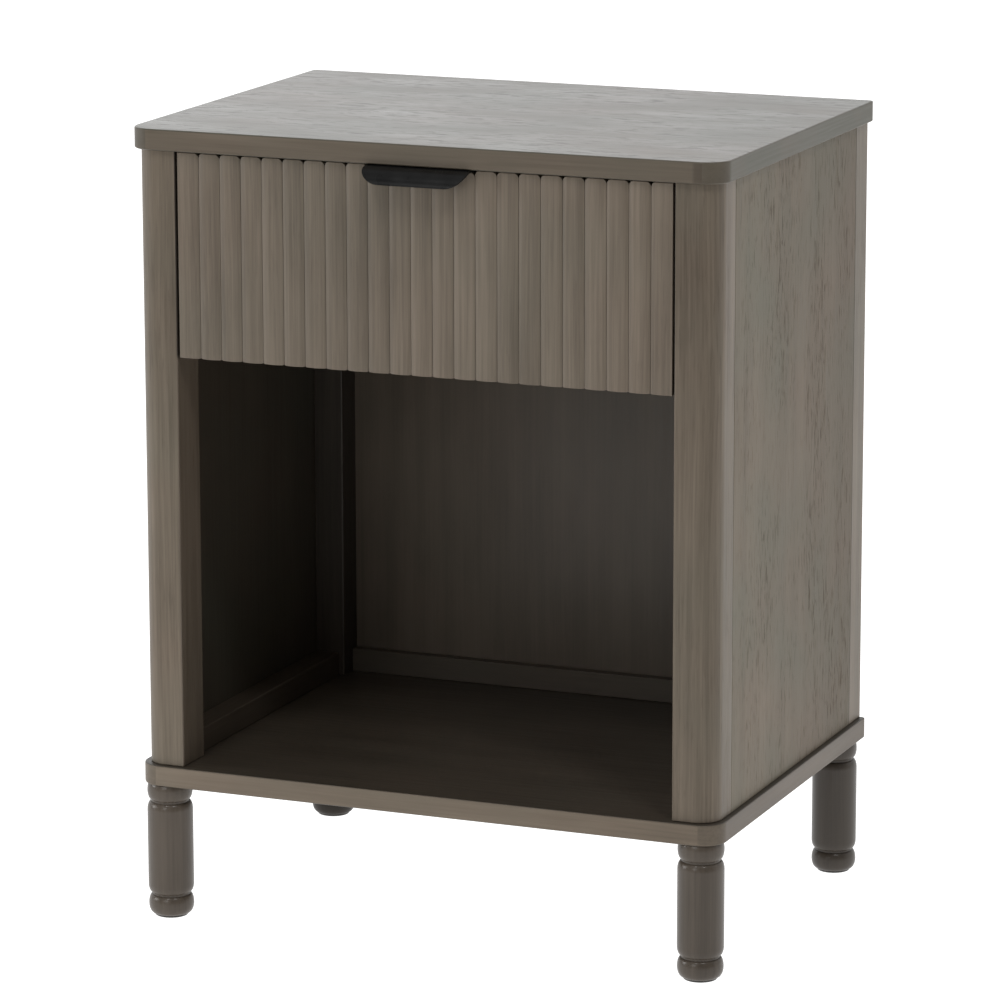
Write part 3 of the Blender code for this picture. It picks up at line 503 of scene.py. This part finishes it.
def build_case():
    """Top, base, posts, side and back panels, and the rails inside."""
    top_grain = {"figure": 0.8, "pores": 0.45, "pore_grain": (170, 52), "relief": 0.0005, "mottle": 0.5}
    top_face = stained_wood("top_veneer", "X", tone=1.02, olive=0.8, gloss=0.5, seed=3.1, **top_grain)
    inside = {"pores": 0.06, "figure": 0.35, "fibre": 0.30}
    # the shelf takes a low tone: painted shade for the inside of the case
    shelf_face = stained_wood("shelf_veneer", "X", tone=0.43, gloss=0.15, seed=6.6, **inside)
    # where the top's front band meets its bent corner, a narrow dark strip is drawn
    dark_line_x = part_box("top_panel")[1].x - PANEL_CORNER
    # front, corner and side bands lighter or darker by the way each faces: painted light and shade
    top_edges = edge_bands("top_edge", (1.0, 0.84, 0.90), (0.25, 0.35, 1.0), seed=5.7, dark_line_x=dark_line_x)
    base_edges = edge_bands("base_edge", (1.30, 1.05, 0.98), (0.2, 0.2, 0.1), seed=7.4)
    side_grain = {"pore_grain": (320, 62), "relief": 0.0003, "smooth_before": (-0.15, -0.06)}
    # the side veneer is painted darker towards the back, as shade where the light falls off
    side_looks = {"tone": 1.58, "figure": 0.5, "olive": 0.55, "shine": 0.08, "light_falloff": (-0.16, 0.14)}
    side_veneer = stained_wood("side_veneer", "Z", pores=0.5, seed=12.9, **side_looks, **side_grain)
    # low tone on the panels' inner faces, the back panel and the rails: painted shade for the inside of the
    # case
    shaded_inner_veneer = stained_wood("shaded_inner_veneer", "Z", tone=0.48, olive=0.5, seed=14.2, **inside)
    back_veneer = stained_wood("back_veneer", "Z", tone=0.80, gloss=0.1, seed=17.7, **inside)
    rail_wood = stained_wood("rail_wood", "X", tone=0.60, seed=21.1, **inside)
    side_rail_wood = stained_wood("side_rail_wood", "Y", tone=0.50, seed=24.3, **inside)

    build_board("top_panel", top_face, top_edges)
    build_board("base_panel", shelf_face, base_edges)
    build_posts()
    for side, sign in SIDES:
        panel = refined("side_panel_" + side, PANEL_EASE, side_veneer, shaded_inner_veneer)
        for face in panel.data.polygons:
            face.material_index = 1 if face.normal.x * sign < -0.5 else 0
        for rail in ("rail_lower_", "rail_upper_", "runner_rail_"):
            refined(rail + side, RAIL_EASE, side_rail_wood)
    refined("back_panel", PANEL_EASE, back_veneer)
    for rail in ("rail_lower_back", "rail_upper_back", "rail_upper_front"):
        refined(rail, RAIL_EASE, rail_wood)


def build_posts():
    """Corner posts; the faces towards the opening, and the rear posts' front faces, are darker, as painted
    shade; the side faces are lighter, as painted light.
    """
    looks = {"figure": 0.8, "olive": 0.25, "shine": 0.24}
    left_wood = stained_wood("post_wood_left", "Z", tone=1.25, seed=8.3, **looks)
    right_wood = stained_wood("post_wood_right", "Z", tone=1.13, seed=8.9, **looks)
    # lighter than the front faces: painted light on the posts' side faces
    side_wood = stained_wood("post_wood_side", "Z", tone=1.36, seed=9.5, **looks)
    drawer_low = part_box("drawer_front")[0].z
    # above the drawer's bottom, the faces towards the opening are painted with shade
    slot_wood = stained_wood("slot_wood", "Z", tone=1.0, olive=0.1, seed=9.2, shaded_above=drawer_low)
    # the rear posts' inner and front faces: painted shade inside the case
    rear_shade_wood = stained_wood("rear_shade_wood", "Z", tone=0.32, olive=0.1, seed=10.6)
    for side, sign in SIDES:
        front_wood = left_wood if sign < 0 else right_wood
        for end, woods in (("front", (side_wood, front_wood, slot_wood)), ("rear", (side_wood, rear_shade_wood))):
            post = refined(f"post_{end}_{side}", RAIL_EASE, *woods)
            for face in post.data.polygons:
                inward = face.normal.x * sign < -0.3
                forward = face.normal.y < -0.3
                face.material_index = len(woods) - 1 if inward else int(forward)


def edge_bands(name, painted_light_tones, olives, seed, dark_line_x=None):
    """Finishes of a board's edge: the flat front band, the bent corner and the side band, in that order; each
    takes its own tone, as painted light and shade for the way it faces.
    """
    looks = {"pores": 0.0, "figure": 0.4, "fibre": 0.5, "relief": 0.00005, "shine": 0.25}
    front = stained_wood(name + "_front", "X", tone=painted_light_tones[0], olive=olives[0], seed=seed, dark_line_x=dark_line_x, **looks)
    corner = stained_wood(name + "_corner", "X", tone=painted_light_tones[1], olive=olives[1], seed=seed + 2, **looks)
    side = stained_wood(name + "_side", "Y", tone=painted_light_tones[2], olive=olives[2], seed=seed + 4, **looks)
    return front, corner, side


def build_board(node, face_wood, edges):
    """The top or the base: veneered faces, and edge bands round the outside."""
    piece = refined(node, BOARD_EASE, face_wood, *edges)
    for face in piece.data.polygons:
        if abs(face.normal.z) > 0.5:
            face.material_index = 0
        elif abs(face.normal.y) > 0.995:
            face.material_index = 1
        elif abs(face.normal.x) > 0.995:
            face.material_index = 3
        else:
            face.material_index = 2


# ---------------------------------------------------------------------------------------------
# Drawer front: separate reeds on a board
# ---------------------------------------------------------------------------------------------

REED_COUNT = 23
REED_DEPTH = 0.0020
REED_SLIT = 0.00012  # from each side of a reed to the valley's middle line
REED_ROOT = 0.0052  # from the crests back to the board that carries the reeds
TOP_CORNER = 0.0044
BOTTOM_CORNER = 0.0016
END_EASE = 0.0006
END_FLANK = 0.4
ARC_STEPS = 14
FLANGE_ROOM = 0.0003
CARRIER_SLOPE = 0.0045  # chamfer behind the reeds' rounded tops
CARRIER_EASE = 0.0003


def reed_rows(low, high):
    """Heights up a reed, close together where its ends are rounded."""
    steps = 7
    bottom = [low + BOTTOM_CORNER * (1 - math.cos(math.pi / 2 * i / steps)) for i in range(steps + 1)]
    top = [high - TOP_CORNER * (1 - math.cos(math.pi / 2 * i / steps)) for i in range(steps, -1, -1)]
    middle = [bottom[-1] + (top[0] - bottom[-1]) * i / 8 for i in range(1, 8)]
    return bottom + middle + top


def corner_loss(distance, radius):
    """How far a rounded corner draws its edge in, at a distance from the end."""
    if distance >= radius:
        return 0.0
    return radius - math.sqrt(max(radius**2 - (radius - distance) ** 2, 0.0))


def add_reed(work, centre_x, pitch, front_y, low, high, outer=0):
    """One reed: a shallow convex strip whose ends are rounded in elevation and eased in section.

    outer is -1 or 1 on the first and the last reed, whose outer flanks are flatter and end squarely.
    """
    half = pitch / 2 - REED_SLIT
    radius = (pitch**2 / 4 + REED_DEPTH**2) / (2 * REED_DEPTH)
    rows = []
    for z in reed_rows(low, high):
        loss = corner_loss(high - z, TOP_CORNER) + corner_loss(z - low, BOTTOM_CORNER)
        back = corner_loss(high - z, END_EASE) + corner_loss(z - low, END_EASE)
        left = half - (back if outer < 0 else loss)
        right = half - (back if outer > 0 else loss)
        row = [work.verts.new((centre_x - left, front_y + REED_ROOT, z))]
        for i in range(ARC_STEPS + 1):
            across = (left + right) * i / ARC_STEPS - left
            sink = radius - math.sqrt(radius**2 - across**2)
            if across * outer > 0:
                sink *= END_FLANK
            row.append(work.verts.new((centre_x + across, front_y + sink + back, z)))
        row.append(work.verts.new((centre_x + right, front_y + REED_ROOT, z)))
        rows.append(row)
    bridge(work, rows, closed=True)
    work.faces.new(rows[0])
    work.faces.new(rows[-1])


def build_drawer_front():
    """Reeds side by side on a board, and lower under the pull's flange."""
    low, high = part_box("drawer_front")
    pull_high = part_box("drawer_pull")[1]
    sheet_under = pull_high.z - PULL_THICKNESS - FLANGE_ROOM
    pitch = (high.x - low.x) / REED_COUNT
    reeds = bmesh.new()
    for number in range(REED_COUNT):
        centre = low.x + (number + 0.5) * pitch
        top = sheet_under if abs(centre) < pull_high.x else high.z
        outer = -1 if number == 0 else int(number == REED_COUNT - 1)
        add_reed(reeds, centre, pitch, low.y, low.z, top, outer)
    reed_wood = stained_wood("reed_wood", "Z", tone=1.19, pores=0.15, figure=0.4, seed=31.3, reed_pitch=pitch)
    piece = new_piece("drawer_front_reeds", reeds, reed_wood)
    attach(piece, "drawer")

    board = bmesh.new()
    notch = pull_high.x + FLANGE_ROOM
    front_y = low.y + REED_ROOT - REED_SLIT
    for start, end, top in ((low.x, -notch, high.z), (-notch, notch, sheet_under), (notch, high.x, high.z)):
        section = [(front_y, low.z), (high.y, low.z), (high.y, top), (front_y + CARRIER_SLOPE, top)]
        section.append((front_y, top - CARRIER_SLOPE))
        rows = [[board.verts.new((x, y, z)) for y, z in section] for x in (start, end)]
        bridge(board, rows, closed=True)
        board.faces.new(rows[0])
        board.faces.new(rows[1])
    # the board shows only in the notches above and between the reeds; its low tone paints the shade there
    carrier_wood = stained_wood("carrier_wood", "X", tone=0.6, pores=0.3, figure=0.5, seed=35.9)
    carrier = ease(new_piece("drawer_front_board", board, carrier_wood), CARRIER_EASE)
    stand_for(carrier, "drawer_front")


# ---------------------------------------------------------------------------------------------
# Pull: bent sheet with rounded corners
# ---------------------------------------------------------------------------------------------

PULL_THICKNESS = 0.0015
PULL_FORWARD = 0.017
PULL_CORNER = 0.0165
PULL_EDGE = 0.00035
SHEET_SAMPLES = 200


def build_pull():
    """A flange on the drawer front's top edge, and a lip that curves forward and down."""
    low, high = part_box("drawer_pull")
    drop = high.z - low.z
    bend_y = low.y + PULL_FORWARD

    def lip_point(fraction):
        angle = fraction * math.pi / 2
        y = bend_y - PULL_FORWARD * math.sin(angle)
        return Vector((y, high.z - drop * (1 - math.cos(angle))))

    samples = [lip_point(1 - i / SHEET_SAMPLES) for i in range(SHEET_SAMPLES + 1)]
    lengths = [0.0]
    for near, far in zip(samples, samples[1:]):
        lengths.append(lengths[-1] + (far - near).length)

    def sheet_point(distance):
        for i in range(SHEET_SAMPLES):
            if distance <= lengths[i + 1]:
                share = (distance - lengths[i]) / (lengths[i + 1] - lengths[i])
                return samples[i].lerp(samples[i + 1], share)
        return Vector((bend_y + distance - lengths[-1], high.z))

    straight = lengths[-1] - PULL_CORNER
    plan = arc((high.x - PULL_CORNER, PULL_CORNER), PULL_CORNER, -90, 0, 20)
    plan += [(high.x, PULL_CORNER + straight * i / 8) for i in range(1, 9)]
    plan += [(high.x, lengths[-1] + (high.y - bend_y) * i / 4) for i in range(1, 5)]

    work = bmesh.new()
    columns = 24
    rows = []
    for half_width, distance in plan:
        y, z = sheet_point(distance)
        rows.append([work.verts.new((half_width * (2 * i / columns - 1), y, z)) for i in range(columns + 1)])
    bridge(work, rows)
    piece = new_piece("drawer_pull_sheet", work, black_coat("black_coat"))
    sheet = piece.modifiers.new("sheet", "SOLIDIFY")
    sheet.thickness = PULL_THICKNESS
    sheet.offset = -1.0 if piece.data.polygons[-1].normal.z > 0 else 1.0
    sheet.use_even_offset = True
    ease(piece, PULL_EDGE, 2)
    piece.modifiers["eased_edges"].angle_limit = math.radians(50)
    stand_for(piece, "drawer_pull")


# ---------------------------------------------------------------------------------------------
# Turned legs and felt pads
# ---------------------------------------------------------------------------------------------

LEG_STEPS = 72
PAD_STEPS = 48
PAD_EASE = 0.0004
LEG_RADIUS = 0.01855
BEAD_RADIUS = 0.0184
GROOVE_RADIUS = 0.0154
GROOVE_HALF_HEIGHT = 0.0008
BEAD_DROP = 0.0062  # the bead's widest circle below the leg's top
UPPER_GROOVE_DROP = 0.0148
LOWER_GROOVE_Z = 0.0186
SHOULDER = 0.0072
FOOT_RADIUS = 0.0184
FOOT_WIDEST_Z = 0.0100
FOOT_BOTTOM_RADIUS = 0.0140
LEG_SHADED_TONES = {  # stain and gloss; the front legs differ a little; the rear legs are darker, the rear left darkest and least glossy: painted shade under the table
    "front_left": (0.58, 0.30),
    "front_right": (0.54, 0.30),
    "rear_left": (0.20, 0.05),
    "rear_right": (0.36, 0.30),
}


def bulge(inner, outer, centre, reach, start, end, steps):
    """Points (radius, height) down an elliptical bulge that is widest at centre and ends at reach."""
    points = []
    for i in range(steps + 1):
        angle = math.radians(start + (end - start) * i / steps)
        points.append((inner + (outer - inner) * math.cos(angle), centre + reach * math.sin(angle)))
    return points


def leg_profile(top, bottom):
    """Outer profile of a leg: bead, cove, long shaft with round shoulders, cove, foot bead."""
    bead_z = top - BEAD_DROP
    upper_z = top - UPPER_GROOVE_DROP
    reach = bead_z - upper_z - GROOVE_HALF_HEIGHT
    lift = math.degrees(math.asin(BEAD_DROP / reach)) if reach > BEAD_DROP else 90
    profile = bulge(GROOVE_RADIUS, BEAD_RADIUS, bead_z, reach, lift, -90, 16)
    shaft_high = upper_z - GROOVE_HALF_HEIGHT - SHOULDER
    shaft_low = LOWER_GROOVE_Z + GROOVE_HALF_HEIGHT + SHOULDER
    profile += bulge(GROOVE_RADIUS, LEG_RADIUS, shaft_high, SHOULDER, 90, 0, 10)
    profile += [(LEG_RADIUS, shaft_high + (shaft_low - shaft_high) * i / 6) for i in range(1, 6)]
    profile += bulge(GROOVE_RADIUS, LEG_RADIUS, shaft_low, SHOULDER, 0, -90, 10)
    foot_reach = LOWER_GROOVE_Z - GROOVE_HALF_HEIGHT - FOOT_WIDEST_Z
    profile += bulge(GROOVE_RADIUS, FOOT_RADIUS, FOOT_WIDEST_Z, foot_reach, 90, 0, 8)
    foot = bulge(FOOT_BOTTOM_RADIUS, FOOT_RADIUS, FOOT_WIDEST_Z, FOOT_WIDEST_Z - bottom, 0, -90, 8)
    return profile + foot[1:]


def build_legs():
    """Turned legs, and a felt pad under each."""
    looks = {"pores": 0.1, "figure": 0.6, "fibre": 0.5, "olive": 0.05, "relief": 0.00005, "shine": 0.2}
    felt = pressed_felt("pressed_felt")
    for corner in CORNERS:
        low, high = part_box("leg_" + corner)
        centre = Vector(((low.x + high.x) / 2, (low.y + high.y) / 2, 0))
        work = bmesh.new()
        lathe(work, leg_profile(high.z, low.z), centre, LEG_STEPS)
        tone, gloss = LEG_SHADED_TONES[corner]
        wood = stained_wood("leg_wood_" + corner, "Z", tone=tone, gloss=gloss, seed=41.7 + tone, **looks)
        stand_for(new_piece("turned_leg_" + corner, work, wood), "leg_" + corner)

        low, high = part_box("foot_pad_" + corner)
        radius = (high.x - low.x) / 2
        flat = radius - PAD_EASE
        profile = [(flat, high.z), (radius, high.z - PAD_EASE), (radius, PAD_EASE), (flat, 0)]
        work = bmesh.new()
        lathe(work, profile, centre, PAD_STEPS)
        stand_for(new_piece("felt_pad_" + corner, work, felt), "foot_pad_" + corner)


# ---------------------------------------------------------------------------------------------
# Drawer box, slides, screws and bolts
# ---------------------------------------------------------------------------------------------

PLY_EASE = 0.0009
PLY_SHEET_EASE = 0.0003
SLIDE_EASE = 0.0002


def build_drawer_box():
    """The ply box behind the drawer front."""
    side_ply = pale_ply("pale_ply_sides", "Y")
    end_ply = pale_ply("pale_ply_ends", "X")
    for side, _ in SIDES:
        refined("drawer_side_" + side, PLY_EASE, side_ply)
    refined("drawer_box_front", PLY_EASE, end_ply)
    refined("drawer_box_back", PLY_EASE, end_ply)
    refined("drawer_bottom", PLY_SHEET_EASE, end_ply)


def build_hardware():
    """Zinc-plated slides, screws and leg bolts."""
    zinc = zinc_plate("zinc_plate")
    for side, _ in SIDES:
        for member in ("outer", "middle", "inner"):
            refined(f"slide_{member}_{side}", SLIDE_EASE, zinc)
    for node, piece in NODES.items():
        if SLOT_OF[node] == "zinc" and not piece.hide_render:
            piece.data.materials.clear()
            piece.data.materials.append(zinc)


# ---------------------------------------------------------------------------------------------
# Studio
# ---------------------------------------------------------------------------------------------

FLOOR_REACH = (2.6, 1.7, 40.0)  # to either side, in front and behind
WALL_FRONT = 0.25
WALL_BEHIND = (1.21, 0.99)  # to the left and to the right
CEILING = 0.4

# Where one wall turns into the next, as parts of the unit vector that points at it
BEHIND_LEFT_TO_RIGHT = (-0.46, -0.30)
FRONT_TO_BEHIND = (-0.15, 0.20)
WALLS_TO_CEILING = (0.60, 0.80)

SOFTBOX_TARGET = Vector((0, 0, 0.35))
SOFTBOX_DISTANCE = 3.0

CAMERA_PLACE = Vector((1.58133, -3.84932, 1.25784))
CAMERA_YAW = 0.3904
CAMERA_PITCH = 0.21877
CAMERA_ROLL = -0.00181
CAMERA_LENS = 188.88


def build_floor():
    """A plain white floor that runs far behind the table."""
    aside, ahead, behind = FLOOR_REACH
    work = bmesh.new()
    corners = ((-aside, -ahead), (aside, -ahead), (behind, behind), (-behind, behind))
    work.faces.new([work.verts.new((x, y, 0.0)) for x, y in corners])
    floor = new_piece("studio_floor", work, pale_floor("pale_floor"))


def add_softbox(name, azimuth, elevation, size, power):
    """A square area light that faces the table; azimuth 0 is in front of the drawer, 90 to its right."""
    turn, rise = math.radians(azimuth), math.radians(elevation)
    direction = Vector((math.sin(turn) * math.cos(rise), -math.cos(turn) * math.cos(rise), math.sin(rise)))
    light = bpy.data.lights.new(name, "AREA")
    light.shape = "SQUARE"
    light.size = size
    light.energy = power
    lamp = bpy.data.objects.new(name, light)
    lamp.location = SOFTBOX_TARGET + direction * SOFTBOX_DISTANCE
    lamp.rotation_euler = direction.to_track_quat("Z", "Y").to_euler()
    bpy.context.scene.collection.objects.link(lamp)


def build_world():
    """The studio walls: white behind the table, dimmer in front, and plain white as the backdrop."""

    def graded(socket, start, end, low, high):
        """A value that goes from low, a number or another value, to high along a direction."""
        share = tree.nodes.new("ShaderNodeMapRange")
        share.interpolation_type = "SMOOTHSTEP"
        share.inputs["From Min"].default_value = start
        share.inputs["From Max"].default_value = end
        tree.links.new(socket, share.inputs["Value"])
        blend = tree.nodes.new("ShaderNodeMix")
        tree.links.new(share.outputs[0], blend.inputs["Factor"])
        for key, value in (("A", low), ("B", high)):
            if isinstance(value, bpy.types.NodeSocket):
                tree.links.new(value, blend.inputs[key])
            else:
                blend.inputs[key].default_value = value
        return blend.outputs[0]

    world = bpy.data.worlds.new("studio")
    world.use_nodes = True
    tree = world.node_tree
    background = tree.nodes["Background"]
    background.inputs["Color"].default_value = (1.0, 1.0, 1.0, 1.0)
    direction = tree.nodes.new("ShaderNodeTexCoord")
    split = tree.nodes.new("ShaderNodeSeparateXYZ")
    tree.links.new(direction.outputs["Generated"], split.inputs[0])
    behind = graded(split.outputs["X"], *BEHIND_LEFT_TO_RIGHT, *WALL_BEHIND)
    walls = graded(split.outputs["Y"], *FRONT_TO_BEHIND, WALL_FRONT, behind)
    room = graded(split.outputs["Z"], *WALLS_TO_CEILING, walls, CEILING)
    path = tree.nodes.new("ShaderNodeLightPath")
    strength = graded(path.outputs["Is Camera Ray"], 0.0, 1.0, room, 1.0)
    tree.links.new(strength, background.inputs["Strength"])
    bpy.context.scene.world = world


def build_light():
    """Studio walls and softboxes, and colours shown as they are."""
    build_world()
    add_softbox("key_left", -68, 12, 1.0, 26)
    add_softbox("key_front", -8, 15, 1.0, 13)
    add_softbox("small_front", -7, 50, 0.4, 13)
    add_softbox("small_right", 46, 50, 0.4, 15)
    bpy.context.scene.view_settings.view_transform = "Standard"
    bpy.context.scene.view_settings.look = "None"


def build_camera():
    """The camera: a long lens to the right of the front, looking down a little."""
    data = bpy.data.cameras.new("camera")
    data.lens = CAMERA_LENS
    data.sensor_width = 36.0
    data.clip_end = 200.0
    camera = bpy.data.objects.new("camera", data)
    aim = Matrix.Rotation(CAMERA_YAW, 4, "Z") @ Matrix.Rotation(math.pi / 2 - CAMERA_PITCH, 4, "X")
    camera.matrix_world = Matrix.Translation(CAMERA_PLACE) @ aim @ Matrix.Rotation(CAMERA_ROLL, 4, "Z")
    bpy.context.scene.collection.objects.link(camera)
    bpy.context.scene.camera = camera


build_case()
build_drawer_front()
build_pull()
build_legs()
build_drawer_box()
build_hardware()
build_floor()
build_light()
build_camera()
